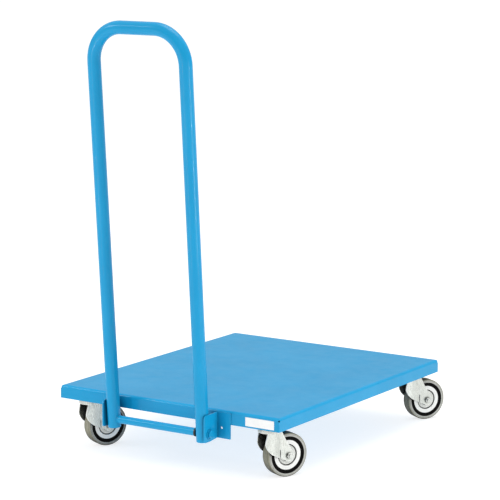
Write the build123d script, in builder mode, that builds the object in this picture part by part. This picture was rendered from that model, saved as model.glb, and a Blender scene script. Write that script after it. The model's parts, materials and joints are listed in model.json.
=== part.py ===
from build123d import *
from math import cos, radians, sin
import os

# Platform trolley: a folded steel deck on four swivel casters, with a tubular push handle hinged
# outside one end. Millimetres, +Z up, X across the deck, Y along it, handle at the -Y end.
# The origin is on the floor, under the middle of the whole trolley's outline.

# ---- Driving dimensions ----
deck_width = 600
deck_length = 740
deck_top = 150
rim_height = 31
tray_wall = 2
tray_bend = 7

tube_radius = 15
tube_wall = 1.5
leg_spacing = 243
handle_bend = 77
handle_reach = 896
handle_lean = 4.7
leg_tail = 18.6

hinge_out = 34
hinge_drop = 49.5
rod_radius = 5
running_gap = 0.05

plate_width = 100
plate_length = 85
plate_gap = 0.5
plate_holes = (80, 60)
caster_height = 128
caster_trail = 39
caster_headings = {"near_left": 25, "near_right": 27, "far_left": 29, "far_right": 32}
wheel_radius = 50
tyre_width = 28

# ---- Places worked out from them ----
lean = radians(handle_lean)
leg_way = Vector(0, -sin(lean), cos(lean))

rim_bottom = deck_top - rim_height
tray_underside = deck_top - tray_wall
hinge_z = deck_top - hinge_drop
kingpin_x = deck_width / 2 - tray_wall - plate_gap - plate_width / 2
kingpin_y = deck_length / 2 - tray_wall - plate_gap - plate_length / 2
tyre_round = 3


def tyre_reach(turn):
    """How far a caster's tyre reaches past its kingpin along Y, when it trails at this angle from +Y."""
    along = (caster_trail + wheel_radius - tyre_round) * cos(radians(turn))
    return along + (tyre_width / 2 - tyre_round) * sin(radians(turn)) + tyre_round


# The far tyres and the top of the handle are the two ends of the trolley's outline.
far_reach = kingpin_y + max(tyre_reach(caster_headings[corner]) for corner in ("far_left", "far_right"))
near_reach = deck_length / 2 + hinge_out + handle_reach * sin(lean) + tube_radius
deck_y = (near_reach - far_reach) / 2
end_y = deck_y - deck_length / 2
hinge_y = end_y - hinge_out
hinge = Vector(0, hinge_y, hinge_z)

os.makedirs("parts", exist_ok=True)


# ======== Deck ========

corner_relief = 2
relief_drop = 6

with BuildPart() as deck_tray:
    with BuildSketch(Plane((0, deck_y, rim_bottom))):
        Rectangle(deck_width, deck_length)
    extrude(amount=rim_height)
    fillet(deck_tray.faces().sort_by(Axis.Z)[-1].edges(), radius=tray_bend)
    offset(amount=-tray_wall, openings=deck_tray.faces().sort_by(Axis.Z)[0])
    # A small round relief stays open at each corner, where the rims were folded down.
    for side in (-1, 1):
        for end in (-1, 1):
            corner = Vector(side * deck_width / 2, deck_y + end * deck_length / 2, deck_top - relief_drop)
            with BuildSketch(Plane(origin=corner, z_dir=(-side, -end, 0))):
                Circle(corner_relief)
            extrude(amount=3 * tray_wall, mode=Mode.SUBTRACT)
deck_tray.part.label = "deck_tray"
export_step(deck_tray.part, "parts/deck_tray.step")

# Two channels lie across the tray under its top, web down. The casters bolt to their webs.
channel_wall = 3
channel_width = 80
channel_relief = 2.5
channel_length = 590
bolt_radius = 4
bolt_hole = 4.3

for name, end in (("near_channel", -1), ("far_channel", 1)):
    middle = Vector(0, deck_y + end * kingpin_y, caster_height)
    with BuildPart() as channel:
        with BuildSketch(Plane(middle)):
            Rectangle(channel_length, channel_width)
        extrude(amount=tray_underside - caster_height)
        with BuildSketch(Plane(middle + Vector(0, 0, channel_wall))):
            Rectangle(channel_length, channel_width - 2 * channel_wall)
        extrude(amount=tray_underside - caster_height, mode=Mode.SUBTRACT)
        # The upper edges are relieved to clear the bend inside the tray.
        upper_edges = channel.edges().group_by(Axis.Z)[-1]
        long_edges = upper_edges.filter_by(Axis.X).sort_by(Axis.Y)
        outer_edges = long_edges[:1] + long_edges[-1:] + upper_edges.filter_by(Axis.Y)
        chamfer(outer_edges, length=channel_relief)
        with BuildSketch(Plane(middle)):
            for side in (-1, 1):
                with Locations((side * kingpin_x, 0)):
                    with GridLocations(*plate_holes, 2, 2):
                        Circle(bolt_hole)
        extrude(amount=channel_wall, mode=Mode.SUBTRACT)
    channel.part.label = name
    export_step(channel.part, f"parts/{name}.step")

# A shallow hat section stiffens the tray's top lengthwise, between the two channels.
hat_width = 60
hat_height = 15
hat_flange = 15
hat_wall = 1.5
hat_length = 2 * (kingpin_y - channel_width / 2) - 2

with BuildPart() as stiffener:
    with BuildSketch(Plane(origin=(0, deck_y, tray_underside), x_dir=(1, 0, 0), z_dir=(0, -1, 0))):
        with Locations((0, -hat_height / 2)):
            Rectangle(hat_width, hat_height)
        with Locations((0, -hat_wall / 2)):
            Rectangle(hat_width + 2 * hat_flange, hat_wall)
        with Locations((0, -(hat_height - hat_wall) / 2)):
            Rectangle(hat_width - 2 * hat_wall, hat_height - hat_wall, mode=Mode.SUBTRACT)
    extrude(amount=hat_length / 2, both=True)
stiffener.part.label = "deck_stiffener"
export_step(stiffener.part, "parts/deck_stiffener.step")

# A blank adhesive plate on the rim, near the corner.
label_width = 74.5
label_height = 20
label_thick = 0.3
label_x = 249.25
label_drop = 17.6

with BuildPart() as label_plate:
    with BuildSketch(
        Plane(origin=(label_x, end_y, deck_top - label_drop), x_dir=(1, 0, 0), z_dir=(0, -1, 0))
    ):
        RectangleRounded(label_width, label_height, 1)
    extrude(amount=label_thick)
label_plate.part.label = "blank_label"
export_step(label_plate.part, "parts/blank_label.step")


# ======== Hinge brackets ========

ear_wall = 3
ear_gap = 0.5
ear_depth = 54
ear_round = 10
ear_slope = 30
ear_rise = 3
ear_inner = leg_spacing / 2 + tube_radius + ear_gap
flange_end = 174
bracket_height = 61.5
bracket_drop = 5
bracket_bend = 6
tie_hole_radius = 3
tie_hole_x = 151
tie_hole_drop = 40

bracket_bottom = deck_top - bracket_drop - bracket_height

for name, side in (("bracket_left", -1), ("bracket_right", 1)):
    inner = side * ear_inner
    outer = side * (ear_inner + ear_wall)
    end = side * flange_end
    with BuildPart() as bracket:
        # L outline seen from above: the ear beside the leg, and the flange on the rim.
        with BuildSketch(Plane((0, end_y, bracket_bottom))) as plan:
            with BuildLine():
                Polyline(
                    (inner, 0),
                    (end, 0),
                    (end, -ear_wall),
                    (outer, -ear_wall),
                    (outer, -ear_depth),
                    (inner, -ear_depth),
                    close=True,
                )
            make_face()
            rows = plan.vertices().group_by(Axis.Y)
            fillet(rows[-1].sort_by(lambda v: abs(v.X))[0], radius=bracket_bend + ear_wall)
            fillet(rows[-2].sort_by(lambda v: abs(v.X))[0], radius=bracket_bend)
        extrude(amount=bracket_height)
        front_edges = bracket.edges().filter_by(Axis.X).group_by(Axis.Y)[0]
        fillet(front_edges.sort_by(Axis.Z)[-1], radius=ear_round)
        fillet(front_edges.sort_by(Axis.Z)[0], radius=4)
        # The lower edge rises from the front of the ear to the flange.
        with BuildSketch(Plane(origin=(0, end_y, bracket_bottom), x_dir=(0, 1, 0), z_dir=(1, 0, 0))):
            Polygon((-ear_slope, 0), (-ear_wall, ear_rise), (0, ear_rise), (0, 0), align=None)
        extrude(amount=flange_end, both=True, mode=Mode.SUBTRACT)
        with BuildSketch(Plane(origin=hinge, z_dir=(side, 0, 0))):
            Circle(rod_radius + running_gap)
        extrude(amount=flange_end, mode=Mode.SUBTRACT)
        tie_hole = Vector(side * tie_hole_x, end_y, deck_top - tie_hole_drop)
        with BuildSketch(Plane(origin=tie_hole, z_dir=(0, -1, 0))):
            Circle(tie_hole_radius)
        extrude(amount=ear_wall, mode=Mode.SUBTRACT)
    bracket.part.label = name
    export_step(bracket.part, f"parts/{name}.step")


# ======== Hinge rod and its fasteners ========

rod_end = 147
nut_flats = 17
nut_height = 5
washer_radius = 12
washer_thick = 1.5
ear_outer = ear_inner + ear_wall

with BuildPart() as hinge_rod:
    with BuildSketch(Plane(origin=hinge, z_dir=(1, 0, 0))):
        Circle(rod_radius)
    extrude(amount=rod_end, both=True)
    chamfer(hinge_rod.edges().filter_by(GeomType.CIRCLE), length=1)
hinge_rod.part.label = "hinge_rod"
export_step(hinge_rod.part, "parts/hinge_rod.step")

with BuildPart() as hinge_washers:
    for side in (-1, 1):
        with BuildSketch(Plane(origin=hinge + Vector(side * ear_outer, 0, 0), z_dir=(side, 0, 0))):
            Circle(washer_radius)
            Circle(rod_radius + running_gap, mode=Mode.SUBTRACT)
        extrude(amount=washer_thick)
hinge_washers.part.label = "hinge_washers"
export_step(hinge_washers.part, "parts/hinge_washers.step")

with BuildPart() as hinge_nuts:
    for side in (-1, 1):
        seat = hinge + Vector(side * (ear_outer + washer_thick), 0, 0)
        with BuildSketch(Plane(origin=seat, z_dir=(side, 0, 0))):
            RegularPolygon(nut_flats / 2, 6, major_radius=False)
            Circle(rod_radius + running_gap, mode=Mode.SUBTRACT)
        extrude(amount=nut_height)
    chamfer(hinge_nuts.faces().filter_by(Axis.X).sort_by(Axis.X)[-1].outer_wire().edges(), length=0.8)
    chamfer(hinge_nuts.faces().filter_by(Axis.X).sort_by(Axis.X)[0].outer_wire().edges(), length=0.8)
hinge_nuts.part.label = "hinge_nuts"
export_step(hinge_nuts.part, "parts/hinge_nuts.step")


# ======== Handle ========

# The handle is drawn in the leaning plane of its legs: X across, Y up the legs from the hinge.
handle_plane = Plane(origin=hinge, x_dir=(1, 0, 0), z_dir=leg_way.cross(Vector(-1, 0, 0)))
half_spacing = leg_spacing / 2

with BuildPart() as handle_tube:
    with BuildLine(handle_plane) as handle_line:
        FilletPolyline(
            (-half_spacing, -leg_tail),
            (-half_spacing, handle_reach),
            (half_spacing, handle_reach),
            (half_spacing, -leg_tail),
            radius=handle_bend,
        )
    with BuildSketch(Plane(origin=handle_line.line @ 0, z_dir=handle_line.line % 0)):
        Circle(tube_radius)
        Circle(tube_radius - tube_wall, mode=Mode.SUBTRACT)
    sweep()
    with BuildSketch(Plane(origin=hinge, z_dir=(1, 0, 0))):
        Circle(rod_radius + running_gap)
    extrude(amount=deck_width / 2, both=True, mode=Mode.SUBTRACT)
handle_tube.part.label = "handle_tube"
export_step(handle_tube.part, "parts/handle_tube.step")

# The spacer tube on the rod is coped to the left leg. A black washer fills its other end.
spacer_radius = 9
spacer_bore = 7.5
gap_washer = 3.5
gap_washer_radius = 10
spacer_end = half_spacing - tube_radius - gap_washer - 0.5

with BuildPart() as spacer_tube:
    with BuildSketch(Plane(origin=hinge - Vector(half_spacing, 0, 0), z_dir=(1, 0, 0))):
        Circle(spacer_radius)
    extrude(amount=half_spacing + spacer_end)
    with BuildSketch(Plane(origin=hinge - Vector(half_spacing, 0, 0), z_dir=leg_way)):
        Circle(tube_radius)
    extrude(amount=2 * tube_radius, both=True, mode=Mode.SUBTRACT)
    with BuildSketch(Plane(origin=hinge - Vector(half_spacing, 0, 0), z_dir=(1, 0, 0))):
        Circle(spacer_bore)
    extrude(amount=half_spacing + spacer_end, mode=Mode.SUBTRACT)
spacer_tube.part.label = "spacer_tube"
export_step(spacer_tube.part, "parts/spacer_tube.step")

with BuildPart() as spacer_washer:
    with BuildSketch(Plane(origin=hinge + Vector(spacer_end, 0, 0), z_dir=(1, 0, 0))):
        Circle(gap_washer_radius)
        Circle(rod_radius + running_gap, mode=Mode.SUBTRACT)
    extrude(amount=gap_washer)
spacer_washer.part.label = "spacer_washer"
export_step(spacer_washer.part, "parts/spacer_washer.step")

plug_depth = 10

with BuildPart() as leg_plugs:
    for side in (-1, 1):
        leg_end = hinge + Vector(side * half_spacing, 0, 0) - leg_way * leg_tail
        with BuildSketch(Plane(origin=leg_end, z_dir=leg_way)):
            Circle(tube_radius - tube_wall)
        extrude(amount=plug_depth)
leg_plugs.part.label = "leg_plugs"
export_step(leg_plugs.part, "parts/leg_plugs.step")


# ======== Casters ========

plate_thick = 3
plate_hole = 4.5
plate_corner = 8
race_inner = 15
race_outer = 25
race_bottom = 118
crown_top = 108.5
crown_wall = 3
cup_radius = 27
cup_bore = 25.6
cup_height = 12.5
ball_radius = 4.7
ball_ring = 20
ball_count = 12
kingpin_radius = 6
pin_head_radius = 11
pin_head = 2.4

fork_gap = 33
fork_wall = 2.5
fork_lobe = 3
boss_radius = 13
axle_z = wheel_radius
axle_radius = 4
axle_nut = 6.5
axle_end = 2

sleeve_radius = 6
bearing_radius = 9
core_radius = 34
band_radius = 41.5
hub_radius = 13
hub_length = 31
core_width = 25
disc_width = 21
disc_radius = 22.3
moat_width = 9
moat_radius = 24.3
band_width = 24
tread_line = 9
side_line = 45.8
line_radius = 0.6

fork_outer = fork_gap / 2 + fork_wall
crown_bottom = crown_top - crown_wall
lobe_front = -22
lobe_back = 16
lobe_middle = (lobe_front + lobe_back) / 2
leg_nose = caster_trail + boss_radius + 1
crown_front = -16
crown_back = 19.5
leg_waist = (31, 86)
leg_heel = (caster_trail + 11.3, axle_z + 6.4)
leg_toe = (caster_trail + 9.2, axle_z - 9.2)
leg_under = (caster_trail - 6.5, axle_z - 11.3)
lobe_under = (0, 53.8)
lobe_belly = (-14.5, 65.3)
lobe_cheek = (-21.7, 80)
lobe_brow = (-20.3, 90)
slot_at = 16.7
slot_width = 2.6
slot_top = 64

corners = {
    "near_left": (-kingpin_x, deck_y - kingpin_y),
    "near_right": (kingpin_x, deck_y - kingpin_y),
    "far_left": (-kingpin_x, deck_y + kingpin_y),
    "far_right": (kingpin_x, deck_y + kingpin_y),
}

# Kingpins, riveted into the plates, with the heads that carry the forks.
with BuildPart() as kingpins:
    for pin_x, pin_y in corners.values():
        with BuildSketch(Plane((pin_x, pin_y, crown_bottom - running_gap))):
            Circle(kingpin_radius)
        extrude(amount=caster_height - crown_bottom)
        with BuildSketch(Plane((pin_x, pin_y, crown_bottom - running_gap))):
            Circle(pin_head_radius)
        extrude(amount=-pin_head)
    fillet(kingpins.edges().filter_by(GeomType.CIRCLE).group_by(Axis.Z)[0], radius=1)
kingpins.part.label = "kingpins"
export_step(kingpins.part, "parts/kingpins.step")

# Balls between each plate's race and the fork's crown.
with BuildPart() as swivel_balls:
    for pin_x, pin_y in corners.values():
        with Locations((pin_x, pin_y, (crown_top + race_bottom) / 2)):
            with PolarLocations(ball_ring, ball_count):
                Sphere(ball_radius)
swivel_balls.part.label = "swivel_balls"
export_step(swivel_balls.part, "parts/swivel_balls.step")

# Hexagon bolts hold the plates to the channels, and nuts are welded inside the channels.
bolt_flats = 13
bolt_head = 5.3
bolt_length = 16
weld_nut = 6.5

with BuildPart() as plate_bolts:
    for pin_x, pin_y in corners.values():
        seat = Vector(pin_x, pin_y, caster_height - plate_thick)
        with BuildSketch(Plane(seat)):
            with GridLocations(*plate_holes, 2, 2):
                Circle(bolt_radius)
        extrude(amount=bolt_length)
        with BuildSketch(Plane(seat)):
            with GridLocations(*plate_holes, 2, 2):
                RegularPolygon(bolt_flats / 2, 6, major_radius=False)
        extrude(amount=-bolt_head)
plate_bolts.part.label = "plate_bolts"
export_step(plate_bolts.part, "parts/plate_bolts.step")

with BuildPart() as weld_nuts:
    for pin_x, pin_y in corners.values():
        with BuildSketch(Plane((pin_x, pin_y, caster_height + channel_wall))):
            with GridLocations(*plate_holes, 2, 2):
                RegularPolygon(bolt_flats / 2, 6, major_radius=False)
                Circle(bolt_radius + running_gap, mode=Mode.SUBTRACT)
        extrude(amount=weld_nut)
weld_nuts.part.label = "weld_nuts"
export_step(weld_nuts.part, "parts/weld_nuts.step")

for corner_name, (pin_x, pin_y) in corners.items():
    pin = Vector(pin_x, pin_y, 0)
    heading = radians(caster_headings[corner_name])
    trail_way = Vector(sin(heading), cos(heading), 0)
    axle_way = Vector(cos(heading), -sin(heading), 0)
    centre = pin + trail_way * caster_trail + Vector(0, 0, axle_z)
    axle = Axis(centre, axle_way)
    # Profiles to be turned about the axle lie in this plane: X along the axle, Y up from it.
    turning_plane = Plane(origin=centre, x_dir=axle_way, z_dir=-trail_way)

    # Top plate with its pressed ball race.
    with BuildPart() as top_plate:
        with BuildSketch(Plane(pin + Vector(0, 0, caster_height - plate_thick))):
            RectangleRounded(plate_width, plate_length, plate_corner)
            Circle(kingpin_radius, mode=Mode.SUBTRACT)
            with GridLocations(*plate_holes, 2, 2):
                Circle(plate_hole, mode=Mode.SUBTRACT)
        extrude(amount=plate_thick)
        with BuildSketch(Plane(pin + Vector(0, 0, race_bottom))):
            Circle(race_outer)
            Circle(race_inner, mode=Mode.SUBTRACT)
        extrude(amount=caster_height - plate_thick - race_bottom)
    top_plate.part.label = f"{corner_name}_top_plate"
    export_step(top_plate.part, f"parts/{corner_name}_top_plate.step")

    # Pressed fork: two legs, a crown and the cup that hides the balls.
    with BuildPart() as fork:
        # Each leg seen from above is flat beside the wheel, then bowed out around the swivel head.
        with BuildSketch(Plane(origin=pin, x_dir=axle_way)):
            for hand in (-1, 1):
                flat_in = hand * fork_gap / 2
                flat_out = hand * fork_outer
                bow = hand * fork_lobe
                with BuildLine():
                    Polyline(
                        (flat_in, lobe_back), (flat_in, leg_nose), (flat_out, leg_nose), (flat_out, lobe_back)
                    )
                    ThreePointArc(
                        (flat_out, lobe_back), (flat_out + bow, lobe_middle), (flat_out, lobe_front)
                    )
                    Line((flat_out, lobe_front), (flat_in, lobe_front))
                    ThreePointArc((flat_in, lobe_front), (flat_in + bow, lobe_middle), (flat_in, lobe_back))
                make_face()
        extrude(amount=crown_top)
        # Seen along the axle, a deep rounded lobe in front tapers back to the boss round the axle.
        with BuildSketch(Plane(origin=pin, x_dir=trail_way, z_dir=axle_way)):
            with BuildLine():
                Polyline((crown_front, crown_top), (crown_back, crown_top), leg_waist, leg_heel)
                ThreePointArc(leg_heel, leg_toe, leg_under)
                Line(leg_under, lobe_under)
                ThreePointArc(lobe_under, lobe_belly, lobe_cheek)
                Polyline(lobe_cheek, lobe_brow, (crown_front, crown_top))
            make_face()
        extrude(amount=2 * fork_outer, both=True, mode=Mode.INTERSECT)
        # A relief slot runs up from the lower edge, where the bowed lobe meets the flat of the leg.
        with BuildSketch(Plane(origin=pin, x_dir=trail_way, z_dir=axle_way)):
            with Locations((slot_at, slot_top / 2)):
                Rectangle(slot_width, slot_top)
            with Locations((slot_at, slot_top)):
                Circle(slot_width / 2)
        extrude(amount=2 * fork_outer, both=True, mode=Mode.SUBTRACT)
        with BuildSketch(Plane(pin + Vector(0, 0, crown_bottom))):
            Circle(cup_radius)
        extrude(amount=crown_wall)
        with BuildSketch(Plane(pin + Vector(0, 0, crown_top))):
            Circle(cup_radius)
            Circle(cup_bore, mode=Mode.SUBTRACT)
        extrude(amount=cup_height)
        with BuildSketch(Plane(pin + Vector(0, 0, crown_bottom))):
            Circle(kingpin_radius + running_gap)
        extrude(amount=crown_wall, mode=Mode.SUBTRACT)
        with BuildSketch(Plane(origin=centre, x_dir=trail_way, z_dir=axle_way)):
            Circle(axle_radius + running_gap)
        extrude(amount=2 * fork_outer, both=True, mode=Mode.SUBTRACT)
    fork.part.label = f"{corner_name}_fork"
    export_step(fork.part, f"parts/{corner_name}_fork.step")

    # Axle bolt, with its head on the side away from the nut.
    with BuildPart() as axle_bolt:
        with BuildSketch(Plane(origin=centre - axle_way * fork_outer, z_dir=axle_way)):
            Circle(axle_radius)
        extrude(amount=2 * fork_outer + axle_nut + axle_end)
        with BuildSketch(Plane(origin=centre - axle_way * fork_outer, x_dir=trail_way, z_dir=-axle_way)):
            RegularPolygon(bolt_flats / 2, 6, major_radius=False)
        extrude(amount=bolt_head)
    axle_bolt.part.label = f"{corner_name}_axle_bolt"
    export_step(axle_bolt.part, f"parts/{corner_name}_axle_bolt.step")

    with BuildPart() as lock_nut:
        with BuildSketch(Plane(origin=centre + axle_way * fork_outer, x_dir=trail_way, z_dir=axle_way)):
            RegularPolygon(bolt_flats / 2, 6, major_radius=False)
            Circle(axle_radius + running_gap, mode=Mode.SUBTRACT)
        extrude(amount=axle_nut)
        chamfer(lock_nut.faces().sort_by(axle)[-1].outer_wire().edges(), length=0.6)
    lock_nut.part.label = f"{corner_name}_axle_nut"
    export_step(lock_nut.part, f"parts/{corner_name}_axle_nut.step")

    # Sleeve clamped between the fork's legs, and the plain bearing that turns on it.
    with BuildPart() as axle_sleeve:
        with BuildSketch(Plane(origin=centre, z_dir=axle_way)):
            Circle(sleeve_radius)
            Circle(axle_radius + running_gap, mode=Mode.SUBTRACT)
        extrude(amount=fork_gap / 2, both=True)
    axle_sleeve.part.label = f"{corner_name}_axle_sleeve"
    export_step(axle_sleeve.part, f"parts/{corner_name}_axle_sleeve.step")

    with BuildPart() as wheel_bearing:
        with BuildSketch(Plane(origin=centre, z_dir=axle_way)):
            Circle(bearing_radius)
            Circle(sleeve_radius + running_gap, mode=Mode.SUBTRACT)
        extrude(amount=hub_length / 2, both=True)
    wheel_bearing.part.label = f"{corner_name}_wheel_bearing"
    export_step(wheel_bearing.part, f"parts/{corner_name}_wheel_bearing.step")

    # Wheel centre: hub, raised disc, a deep moat round it, and a broad rim.
    with BuildPart() as wheel_core:
        with BuildSketch(turning_plane):
            for width, inner, outer in (
                (hub_length, bearing_radius, hub_radius),
                (disc_width, hub_radius, disc_radius),
                (moat_width, disc_radius, moat_radius),
                (core_width, moat_radius, core_radius),
            ):
                with Locations((0, (inner + outer) / 2)):
                    Rectangle(width, outer - inner)
        revolve(axis=axle)
        moat_edges = wheel_core.edges().filter_by(GeomType.CIRCLE)
        moat_edges = [e for e in moat_edges if disc_radius <= round(e.radius, 3) <= moat_radius]
        lips = [e for e in moat_edges if abs((e.center() - centre).dot(axle_way)) > disc_width / 2 - 1]
        fillet(lips, radius=0.8)
    wheel_core.part.label = f"{corner_name}_wheel_core"
    export_step(wheel_core.part, f"parts/{corner_name}_wheel_core.step")

    # Hard black band between the core and the tyre.
    with BuildPart() as tyre_band:
        with BuildSketch(turning_plane):
            with Locations((0, (core_radius + band_radius) / 2)):
                Rectangle(band_width, band_radius - core_radius)
        revolve(axis=axle)
    tyre_band.part.label = f"{corner_name}_tyre_band"
    export_step(tyre_band.part, f"parts/{corner_name}_tyre_band.step")

    # Grey tyre, round at the shoulders, with moulded lines round its tread and its side walls.
    with BuildPart() as tyre:
        with BuildSketch(turning_plane) as tyre_section:
            with Locations((0, (band_radius + wheel_radius) / 2)):
                Rectangle(tyre_width, wheel_radius - band_radius)
            fillet(tyre_section.vertices().group_by(Axis.Y)[-1], radius=tyre_round)
            fillet(tyre_section.vertices().group_by(Axis.Y)[0], radius=1)
            with Locations(
                (-tread_line, wheel_radius), (tread_line, wheel_radius),
                (-tyre_width / 2, side_line), (tyre_width / 2, side_line),
            ):
                Circle(line_radius, mode=Mode.SUBTRACT)
        revolve(axis=axle)
    tyre.part.label = f"{corner_name}_tyre"
    export_step(tyre.part, f"parts/{corner_name}_tyre.step")
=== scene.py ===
"""Looks for the platform trolley: a blue painted deck and handle on four grey-tyred casters.

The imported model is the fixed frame, in metres. This script gives every CAD piece a procedural
material and adds the small formed details that the frame leaves out.
"""

import json
import math
import random

import bmesh
import bpy
from mathutils import Matrix, Vector


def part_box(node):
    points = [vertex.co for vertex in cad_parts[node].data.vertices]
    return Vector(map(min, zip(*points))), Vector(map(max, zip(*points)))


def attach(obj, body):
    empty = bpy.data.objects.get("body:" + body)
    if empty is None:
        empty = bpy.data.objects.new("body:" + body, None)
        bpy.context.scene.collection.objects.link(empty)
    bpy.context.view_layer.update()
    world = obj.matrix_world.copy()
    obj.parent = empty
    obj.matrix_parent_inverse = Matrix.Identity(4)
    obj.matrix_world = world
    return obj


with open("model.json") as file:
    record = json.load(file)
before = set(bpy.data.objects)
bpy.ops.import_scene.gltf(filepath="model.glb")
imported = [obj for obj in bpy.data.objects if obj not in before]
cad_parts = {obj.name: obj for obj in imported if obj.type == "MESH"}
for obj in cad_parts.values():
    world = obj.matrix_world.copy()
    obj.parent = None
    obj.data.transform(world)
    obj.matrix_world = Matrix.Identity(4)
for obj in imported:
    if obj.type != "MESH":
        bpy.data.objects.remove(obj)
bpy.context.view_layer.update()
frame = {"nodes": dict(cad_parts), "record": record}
NODES = frame["nodes"]
CORNERS = ("near_left", "near_right", "far_left", "far_right")


# ======== Camera, light and floor ========

def make_camera():
    """A long lens from behind the handle's right, a little above the deck."""
    place = Vector((2.6985, -4.1898, 1.2694))
    yaw, pitch, roll = 0.5703, 0.1627, -0.0055
    ahead = Vector((-math.sin(yaw) * math.cos(pitch), math.cos(yaw) * math.cos(pitch), -math.sin(pitch)))
    right = Vector((math.cos(yaw), math.sin(yaw), 0))
    up = right.cross(ahead)
    turn = Matrix.Rotation(roll, 3, ahead)
    right, up = turn @ right, turn @ up
    camera = bpy.data.objects.new("camera", bpy.data.cameras.new("camera"))
    camera.matrix_world = Matrix((
        (right.x, up.x, -ahead.x, place.x),
        (right.y, up.y, -ahead.y, place.y),
        (right.z, up.z, -ahead.z, place.z),
        (0, 0, 0, 1),
    ))
    camera.data.sensor_width = 36
    camera.data.lens = 154.1
    camera.data.clip_end = 50
    bpy.context.scene.collection.objects.link(camera)
    bpy.context.scene.camera = camera


def area_light(name, place, aim, size, power):
    data = bpy.data.lights.new(name, "AREA")
    data.shape = "RECTANGLE"
    data.size, data.size_y = size
    data.energy = power
    light = bpy.data.objects.new(name, data)
    light.location = place
    light.rotation_euler = (Vector(aim) - Vector(place)).to_track_quat("-Z", "Y").to_euler()
    light.visible_camera = False
    bpy.context.scene.collection.objects.link(light)


def make_studio():
    """White overhead, greyer round the horizon, with two upright strips that streak the tubes."""
    world = bpy.data.worlds.new("studio")
    world.use_nodes = True
    tree = world.node_tree
    height = tree.nodes.new("ShaderNodeSeparateXYZ")
    tree.links.new(tree.nodes.new("ShaderNodeTexCoord").outputs["Generated"], height.inputs["Vector"])
    ramp = tree.nodes.new("ShaderNodeMapRange")
    ramp.inputs["From Min"].default_value = 0.05
    ramp.inputs["From Max"].default_value = 0.55
    ramp.inputs["To Min"].default_value = 0.32
    ramp.inputs["To Max"].default_value = 0.85
    tree.links.new(height.outputs["Z"], ramp.inputs["Value"])
    tree.links.new(ramp.outputs["Result"], tree.nodes["Background"].inputs["Strength"])
    tree.nodes["Background"].inputs["Color"].default_value = (1, 1, 1, 1)
    bpy.context.scene.world = world
    handle = (0, -0.4, 0.55)
    area_light("key", (-2.9, -2.9, 2.6), (0, 0, 0.2), (1.2, 1.2), 34)
    area_light("strip_right", (2.1, -0.40, 0.5), handle, (0.08, 1.0), 13)
    area_light("strip_left", (-0.42, -1.65, 0.40), handle, (0.05, 0.75), 3.2)
    area_light("top", (0.5, 0.7, 6.0), (0, 0, 0.1), (4, 4), 170)
    bpy.context.scene.view_settings.view_transform = "Standard"


def make_floor():
    bpy.ops.mesh.primitive_plane_add(size=160)
    floor = bpy.context.object
    floor.name = "floor"
    material = bpy.data.materials.new("floor_white")
    material.use_nodes = True
    shader = material.node_tree.nodes["Principled BSDF"]
    shader.inputs["Base Color"].default_value = (0.40, 0.40, 0.40, 1)
    shader.inputs["Roughness"].default_value = 0.9
    shader.inputs["Specular IOR Level"].default_value = 0
    shader.inputs["Emission Color"].default_value = (1, 1, 1, 1)
    shader.inputs["Emission Strength"].default_value = 0.74
    floor.data.materials.append(material)


# ======== Materials ========

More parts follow.
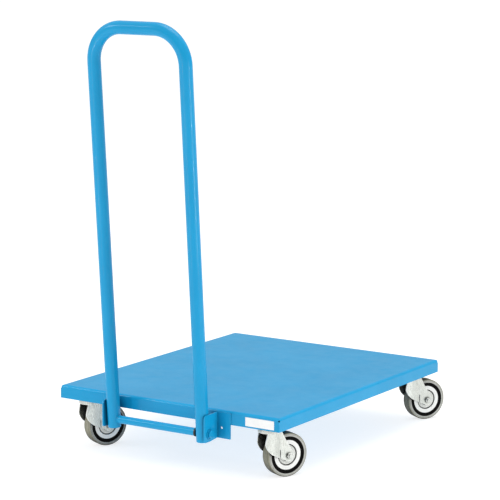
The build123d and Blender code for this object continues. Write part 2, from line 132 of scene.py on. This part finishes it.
class Finish:
    """Builds one procedural material in row-frame coordinates, so that its grain has a real scale."""

    def __init__(self, name):
        self.material = bpy.data.materials.new(name)
        self.material.use_nodes = True
        self.tree = self.material.node_tree
        self.shader = self.tree.nodes["Principled BSDF"]
        self.coords = self.tree.nodes.new("ShaderNodeTexCoord").outputs["Object"]

    def set(self, **values):
        for key, value in values.items():
            self.shader.inputs[key.replace("_", " ")].default_value = value

    def noise(self, scale, detail=3, roughness=0.5, stretch=None):
        node = self.tree.nodes.new("ShaderNodeTexNoise")
        node.inputs["Scale"].default_value = scale
        node.inputs["Detail"].default_value = detail
        node.inputs["Roughness"].default_value = roughness
        self.tree.links.new(self.stretched(stretch), node.inputs["Vector"])
        return node.outputs["Fac"]

    def stretched(self, stretch):
        if stretch is None:
            return self.coords
        node = self.tree.nodes.new("ShaderNodeMapping")
        node.inputs["Scale"].default_value = stretch
        self.tree.links.new(self.coords, node.inputs["Vector"])
        return node.outputs["Vector"]

    def voronoi(self, scale):
        node = self.tree.nodes.new("ShaderNodeTexVoronoi")
        node.inputs["Scale"].default_value = scale
        self.tree.links.new(self.coords, node.inputs["Vector"])
        return node.outputs["Distance"]

    def ramp(self, value, low, high, out_low=0.0, out_high=1.0):
        node = self.tree.nodes.new("ShaderNodeMapRange")
        node.inputs["From Min"].default_value = low
        node.inputs["From Max"].default_value = high
        node.inputs["To Min"].default_value = out_low
        node.inputs["To Max"].default_value = out_high
        self.tree.links.new(value, node.inputs["Value"])
        return node.outputs["Result"]

    def math(self, operation, a, b):
        node = self.tree.nodes.new("ShaderNodeMath")
        node.operation = operation
        for socket, value in zip(node.inputs, (a, b)):
            if isinstance(value, (int, float)):
                socket.default_value = value
            else:
                self.tree.links.new(value, socket)
        return node.outputs["Value"]

    def mix(self, factor, a, b):
        """Colour between a and b, each a colour or a socket."""
        node = self.tree.nodes.new("ShaderNodeMix")
        node.data_type = "RGBA"
        if isinstance(factor, (int, float)):
            node.inputs["Factor"].default_value = factor
        else:
            self.tree.links.new(factor, node.inputs["Factor"])
        for socket, value in ((node.inputs[6], a), (node.inputs[7], b)):
            if isinstance(value, tuple):
                socket.default_value = (*value, 1)
            else:
                self.tree.links.new(value, socket)
        return node.outputs[2]

    def edges(self, radius, low=0.02, high=0.3):
        """1 on sharp edges and 0 on open faces: how far a rounded normal leans from the true one."""
        bevel = self.tree.nodes.new("ShaderNodeBevel")
        bevel.samples = 4
        bevel.inputs["Radius"].default_value = radius
        geometry = self.tree.nodes.new("ShaderNodeNewGeometry")
        dot = self.tree.nodes.new("ShaderNodeVectorMath")
        dot.operation = "DOT_PRODUCT"
        self.tree.links.new(bevel.outputs["Normal"], dot.inputs[0])
        self.tree.links.new(geometry.outputs["True Normal"], dot.inputs[1])
        return self.ramp(self.math("SUBTRACT", 1.0, dot.outputs["Value"]), low, high)

    def cavity(self, reach, low=0.25, high=0.8):
        """1 deep in gaps and corners, and 0 in the open."""
        node = self.tree.nodes.new("ShaderNodeAmbientOcclusion")
        node.samples = 8
        node.inputs["Distance"].default_value = reach
        return self.ramp(node.outputs["AO"], low, high, 1, 0)

    def radius_from(self, centre, axis):
        """Distance from a line through centre, in metres."""
        offset = self.tree.nodes.new("ShaderNodeVectorMath")
        offset.operation = "SUBTRACT"
        offset.inputs[1].default_value = centre
        self.tree.links.new(self.coords, offset.inputs[0])
        across = self.tree.nodes.new("ShaderNodeVectorMath")
        across.operation = "CROSS_PRODUCT"
        across.inputs[1].default_value = axis
        self.tree.links.new(offset.outputs["Vector"], across.inputs[0])
        length = self.tree.nodes.new("ShaderNodeVectorMath")
        length.operation = "LENGTH"
        self.tree.links.new(across.outputs["Vector"], length.inputs[0])
        return length.outputs["Value"]

    def color(self, socket):
        self.tree.links.new(socket, self.shader.inputs["Base Color"])

    def roughness(self, socket):
        self.tree.links.new(socket, self.shader.inputs["Roughness"])

    def bump(self, *layers):
        """Each layer is (height socket, depth in metres)."""
        normal = None
        for height, depth in layers:
            node = self.tree.nodes.new("ShaderNodeBump")
            node.inputs["Strength"].default_value = 1
            node.inputs["Distance"].default_value = depth
            self.tree.links.new(height, node.inputs["Height"])
            if normal is not None:
                self.tree.links.new(normal, node.inputs["Normal"])
            normal = node.outputs["Normal"]
        self.tree.links.new(normal, self.shader.inputs["Normal"])


def blue_paint():
    """Glossy powder coat: slight cloudiness, orange peel, paler patches on the edges that are partly wear
    and partly a painted highlight, and painted shade in gaps and corners.
    """
    finish = Finish("blue_powder_coat")
    cloud = finish.ramp(finish.noise(7, 4), 0.35, 0.65)
    base = finish.mix(cloud, (0.003, 0.278, 0.540), (0.005, 0.300, 0.575))
    speck = finish.ramp(finish.noise(260, 2), 0.62, 0.72, 0, 0.2)
    base = finish.mix(speck, base, (0.004, 0.250, 0.520))
    # Paler blue in patches on the edges: partly paint wear, partly a painted highlight.
    edge_wear_and_highlight = finish.math("MULTIPLY", finish.edges(0.0012), finish.ramp(finish.noise(90, 4), 0.45, 0.7, 0, 0.4))
    base = finish.mix(edge_wear_and_highlight, base, (0.10, 0.42, 0.70))
    # Painted shade: dark blue in gaps and corners.
    finish.color(finish.mix(finish.math("MULTIPLY", finish.cavity(0.03), 0.7), base, (0.002, 0.035, 0.09)))
    finish.roughness(finish.ramp(finish.noise(24, 5, 0.6), 0.3, 0.7, 0.30, 0.42))
    finish.bump((finish.noise(420, 2), 0.00004), (finish.noise(40, 3), 0.00008))
    finish.set(Coat_Weight=0.22, Coat_Roughness=0.08, Specular_IOR_Level=0.14)
    return finish.material


def zinc(name, reach, low, high):
    """Bright zinc plate: faint spangle, drawn marks and dull patches, a painted highlight on the edges, and
    painted shade, near black, in the gaps.
    """
    finish = Finish(name)
    spangle = finish.ramp(finish.voronoi(160), 0.0, 0.9)
    base = finish.mix(spangle, (0.54, 0.56, 0.52), (0.63, 0.65, 0.61))
    dull = finish.ramp(finish.noise(30, 4), 0.5, 0.75, 0, 0.4)
    base = finish.mix(dull, base, (0.43, 0.45, 0.41))
    # Edges lightened to near white: a painted highlight.
    edge_wear_and_highlight = finish.edges(0.0022, 0.01, 0.12)
    base = finish.mix(edge_wear_and_highlight, base, (0.86, 0.87, 0.85))
    # Painted shade: near black in the gaps, such as inside the fork, kept off the edges.
    gap_shade = finish.math("MULTIPLY", finish.cavity(reach, low, high), finish.math("SUBTRACT", 1.0, edge_wear_and_highlight))
    finish.color(finish.mix(gap_shade, base, (0.006, 0.006, 0.005)))
    drawn = finish.noise(60, 4, 0.6, stretch=(12, 12, 1))
    finish.roughness(finish.ramp(drawn, 0.3, 0.7, 0.22, 0.36))
    finish.bump((drawn, 0.00003), (finish.noise(300, 2), 0.00003))
    finish.set(Metallic=0.7)
    return finish.material


def grey_rubber(name, centre, axis):
    """Non-marking grey rubber: a clean side wall, black at its joint with the band, and an olive tread."""
    finish = Finish(name)
    radius = finish.radius_from(centre, axis)
    cloud = finish.ramp(finish.noise(45, 4), 0.35, 0.7)
    wall = finish.mix(cloud, (0.40, 0.405, 0.375), (0.48, 0.485, 0.455))
    tread = finish.mix(cloud, (0.215, 0.210, 0.150), (0.300, 0.292, 0.225))
    wall = finish.mix(finish.ramp(radius, 0.0422, 0.0427, 1, 0), wall, (0.01, 0.01, 0.009))
    base = finish.mix(finish.ramp(radius, 0.0468, 0.0482), wall, tread)
    dust = finish.ramp(finish.noise(500, 3), 0.55, 0.7, 0, 0.3)
    base = finish.mix(dust, base, (0.34, 0.335, 0.30))
    # Painted shade: near black in close gaps and where the deck overhead shelters the tyre.
    sheltered_shade = finish.math("MAXIMUM", finish.cavity(0.02, 0.15, 0.6), finish.cavity(0.35, 0.14, 0.42))
    finish.color(finish.mix(sheltered_shade, base, (0.012, 0.012, 0.010)))
    finish.roughness(finish.ramp(finish.noise(120, 3), 0.3, 0.7, 0.5, 0.7))
    finish.bump((finish.noise(900, 3), 0.00008), (finish.noise(70, 3), 0.00012))
    finish.set(Specular_IOR_Level=0.3)
    return finish.material


def black_rubber():
    finish = Finish("black_rubber")
    cloud = finish.ramp(finish.noise(80, 4), 0.35, 0.7)
    finish.color(finish.mix(cloud, (0.0015, 0.0015, 0.0015), (0.004, 0.004, 0.004)))
    finish.roughness(finish.ramp(finish.noise(200, 3), 0.3, 0.7, 0.6, 0.75))
    finish.bump((finish.noise(900, 2), 0.00005))
    finish.set(Specular_IOR_Level=0.06)
    return finish.material


def core_plastic(name, centre, axis):
    """Light grey moulded wheel centre: a bright rim, a duller disc, scuffs, and painted shade in the moat.
    """
    finish = Finish(name)
    radius = finish.radius_from(centre, axis)
    cloud = finish.ramp(finish.noise(50, 4), 0.35, 0.7)
    rim = finish.mix(cloud, (0.73, 0.74, 0.72), (0.81, 0.82, 0.80))
    disc = finish.mix(cloud, (0.62, 0.635, 0.60), (0.68, 0.695, 0.66))
    base = finish.mix(finish.ramp(radius, 0.0222, 0.0226), disc, rim)
    base = finish.mix(finish.ramp(radius, 0.0334, 0.0338), base, (0.02, 0.02, 0.018))
    scuff = finish.ramp(finish.noise(400, 4, 0.7), 0.6, 0.75, 0, 0.35)
    base = finish.mix(scuff, base, (0.45, 0.45, 0.42))
    # Painted shade: near black in the moat and other close hollows.
    finish.color(finish.mix(finish.cavity(0.006, 0.3, 0.75), base, (0.02, 0.02, 0.018)))
    finish.roughness(finish.ramp(finish.noise(120, 4), 0.3, 0.7, 0.34, 0.5))
    finish.bump((finish.noise(700, 3), 0.00003))
    return finish.material


def black_plastic():
    finish = Finish("black_plastic")
    cloud = finish.ramp(finish.noise(120, 4), 0.35, 0.7)
    finish.color(finish.mix(cloud, (0.012, 0.012, 0.012), (0.022, 0.022, 0.021)))
    finish.roughness(finish.ramp(finish.noise(300, 3), 0.3, 0.7, 0.38, 0.55))
    finish.bump((finish.noise(1200, 2), 0.00004))
    return finish.material


def bearing_plastic():
    finish = Finish("natural_nylon")
    cloud = finish.ramp(finish.noise(120, 4), 0.35, 0.7)
    finish.color(finish.mix(cloud, (0.62, 0.60, 0.53), (0.70, 0.68, 0.62)))
    finish.roughness(finish.ramp(finish.noise(300, 3), 0.3, 0.7, 0.35, 0.5))
    finish.bump((finish.noise(900, 2), 0.00003))
    return finish.material


def bearing_steel():
    finish = Finish("bearing_steel")
    smear = finish.ramp(finish.noise(180, 3), 0.4, 0.7)
    finish.color(finish.mix(smear, (0.72, 0.72, 0.73), (0.55, 0.53, 0.48)))
    finish.roughness(finish.ramp(finish.noise(260, 3), 0.3, 0.7, 0.1, 0.25))
    finish.set(Metallic=1.0)
    return finish.material


def label_film():
    """Blank white film, a little soiled in patches."""
    finish = Finish("label_film")
    cloud = finish.ramp(finish.noise(60, 4), 0.35, 0.7)
    base = finish.mix(cloud, (0.80, 0.80, 0.79), (0.86, 0.86, 0.85))
    soil = finish.ramp(finish.noise(220, 4, 0.7), 0.58, 0.75, 0, 0.3)
    finish.color(finish.mix(soil, base, (0.62, 0.62, 0.60)))
    finish.roughness(finish.ramp(finish.noise(150, 3), 0.3, 0.7, 0.3, 0.42))
    finish.bump((finish.noise(300, 2), 0.00002))
    return finish.material


MATERIALS = {
    "blue_paint": blue_paint(),
    "zinc_steel": zinc("zinc_plate", 0.045, 0.30, 0.75),
    "bearing_steel": bearing_steel(),
    "black_rubber": black_rubber(),
    "bearing_plastic": bearing_plastic(),
    "black_plastic": black_plastic(),
    "label_film": label_film(),
}
JOINTS = {joint["name"]: joint for joint in frame["record"]["behaviour"]["joints"]}
# Axle nuts and bolts take a stronger painted shade, which darkens most of their facets.
axle_zinc = zinc("axle_zinc", 0.014, 0.55, 0.95)
for corner in CORNERS:
    spin = JOINTS[f"{corner}_wheel_spin"]
    MATERIALS[f"{corner}_axle_nut"] = MATERIALS[f"{corner}_axle_bolt"] = axle_zinc
    MATERIALS[f"{corner}_tyre"] = grey_rubber(f"grey_rubber_{corner}", spin["pos_m"], spin["axis"])
    MATERIALS[f"{corner}_wheel_core"] = core_plastic(f"core_plastic_{corner}", spin["pos_m"], spin["axis"])


def dress_cad_nodes():
    for part in frame["record"]["subparts"]:
        node = NODES[part["node"]]
        node.data.materials.clear()
        node.data.materials.append(MATERIALS.get(part["node"]) or MATERIALS[part["material_slot"]])


# ======== Formed details ========

def finish_piece(mesh, name, body, material):
    """Turns a bmesh into a smooth-shaded piece that rides on a body."""
    bmesh.ops.recalc_face_normals(mesh, faces=mesh.faces)
    data = bpy.data.meshes.new(name)
    mesh.to_mesh(data)
    mesh.free()
    data.polygons.foreach_set("use_smooth", [True] * len(data.polygons))
    piece = bpy.data.objects.new(name, data)
    piece.data.materials.append(material)
    bpy.context.scene.collection.objects.link(piece)
    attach(piece, body)


def skin(rings, mesh, closed):
    """Joins neighbouring rings of vertices, round to the first again if closed."""
    pairs = list(zip(rings, rings[1:])) + ([(rings[-1], rings[0])] if closed else [])
    for one, two in pairs:
        for k in range(len(one)):
            n = (k + 1) % len(one)
            mesh.faces.new((one[k], one[n], two[n], two[k]))
    if not closed:
        mesh.faces.new(rings[0])
        mesh.faces.new(list(reversed(rings[-1])))


def weld_bead(name, route, radius, body, closed=False):
    """A rippled weld along a route of close points, drawn in at its ends unless it is closed."""
    sides = 10
    ripple, ripple_turn, jitter = 0.13, math.pi * 0.5, 0.04
    tip, growth = 0.35, 0.3
    skew = Vector((0.3, 0.5, 0.81))
    mesh = bmesh.new()
    rng = random.Random(name)
    turns = [k * math.tau / sides for k in range(sides)]
    rings = []
    for i, point in enumerate(route):
        after = route[(i + 1) % len(route)] if closed or i + 1 < len(route) else point
        before = route[i - 1] if closed or i else point
        way = (after - before).normalized()
        across = way.cross(skew).normalized()
        up = way.cross(across)
        end = 1 if closed else min(1, tip + growth * i, tip + growth * (len(route) - 1 - i))
        size = radius * end * (1 + ripple * math.cos(i * ripple_turn) + rng.uniform(-jitter, jitter))
        outs = [math.cos(a) * across + math.sin(a) * up for a in turns]
        rings.append([mesh.verts.new(point + size * out) for out in outs])
    skin(rings, mesh, closed)
    finish_piece(mesh, name, body, MATERIALS["blue_paint"])


def run_points(start, end):
    """Close points along a straight run."""
    step = 0.0009
    start, end = Vector(start), Vector(end)
    count = max(2, round((end - start).length / step))
    return [start.lerp(end, i / count) for i in range(count + 1)]


def turned(name, profile, centre, axis, body, material, sides=72):
    """A closed profile of (radius, distance along the axis) in metres, turned about the axis."""
    mesh = bmesh.new()
    axis = Vector(axis).normalized()
    across = axis.orthogonal().normalized()
    up = axis.cross(across)
    rings = []
    for k in range(sides):
        a = k * math.tau / sides
        out = math.cos(a) * across + math.sin(a) * up
        rings.append([mesh.verts.new(Vector(centre) + out * r + axis * d) for r, d in profile])
    skin(rings, mesh, True)
    finish_piece(mesh, name, body, material)


def bracket_welds():
    """Fillet welds along the top and the outer end of each bracket's flange, where it meets the rim."""
    bead, sink, lift = 0.0017, 0.0008, 0.0002
    bend_clear, rim_clear, top_clear = 0.012, 0.002, 0.001
    rim_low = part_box("deck_tray")[0]
    for side, name in ((-1, "left"), (1, "right")):
        low, high = (Vector(corner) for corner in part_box(f"bracket_{name}"))
        outer = high.x if side > 0 else low.x
        inner = low.x if side > 0 else high.x
        weld_y = high.y - sink
        top = high.z
        along_top = run_points((inner + side * bend_clear, weld_y, top + lift), (outer, weld_y, top + lift))
        down_end = run_points(
            (outer + side * lift, weld_y, rim_low.z + rim_clear),
            (outer + side * lift, weld_y, top - top_clear),
        )
        weld_bead(f"flange_weld_top_{name}", along_top, bead, "chassis")
        weld_bead(f"flange_weld_end_{name}", down_end, bead, "chassis")


def spacer_weld():
    """The weld round the spacer tube, where it is coped to the left leg."""
    leg_radius = 0.015
    bead, lift, steps = 0.0015, 0.0006, 64
    hinge = Vector(JOINTS["handle_fold"]["pos_m"])
    low, high = (Vector(corner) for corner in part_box("spacer_tube"))
    radius = (high.z - low.z) / 2
    leg_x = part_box("handle_tube")[0][0] + leg_radius
    route = []
    for k in range(steps):
        a = k * math.tau / steps
        y, z = radius * math.cos(a), radius * math.sin(a)
        x = leg_x + math.sqrt(leg_radius ** 2 - y ** 2) + lift
        route.append(Vector((x, hinge.y + y, hinge.z + z)))
    weld_bead("spacer_weld", route, bead, "handle", closed=True)


def thread_profile():
    """Four thread crests past the nut, as rings, and a narrower end: (radius, distance along the axle)."""
    nut_end, bolt_end, pitch = 0.0255, 0.02745, 0.0005
    inside, end_radius, root, crest = 0.0030, 0.0034, 0.0036, 0.00402
    profile = [(inside, nut_end)]
    for k in range(4):
        profile += [(root, nut_end + k * pitch), (crest, nut_end + (k + 0.45) * pitch)]
    return profile + [(end_radius, bolt_end), (inside, bolt_end)]


def wheel_details():
    """Moulded guard rings on each wheel's disc, and a threaded end on each axle bolt."""
    guard = [
        (0.0138, 0.0100), (0.0138, 0.0112), (0.0150, 0.0114), (0.0158, 0.0110),
        (0.0172, 0.0110), (0.0176, 0.0115), (0.0184, 0.0115), (0.0188, 0.0110),
        (0.0206, 0.0110), (0.0212, 0.0107), (0.0212, 0.0100),
    ]
    for corner in CORNERS:
        spin = JOINTS[f"{corner}_wheel_spin"]
        centre, axis = Vector(spin["pos_m"]), Vector(spin["axis"]).normalized()
        for side, hand in ((1, "outer"), (-1, "inner")):
            turned(
                f"{corner}_guard_{hand}", guard, centre, side * axis, f"{corner}_wheel",
                MATERIALS[f"{corner}_wheel_core"],
            )
        turned(
            f"{corner}_axle_thread", thread_profile(), centre, axis, f"{corner}_caster",
            MATERIALS[f"{corner}_axle_nut"], sides=36,
        )


make_camera()
make_studio()
make_floor()
dress_cad_nodes()
bracket_welds()
spacer_weld()
wheel_details()
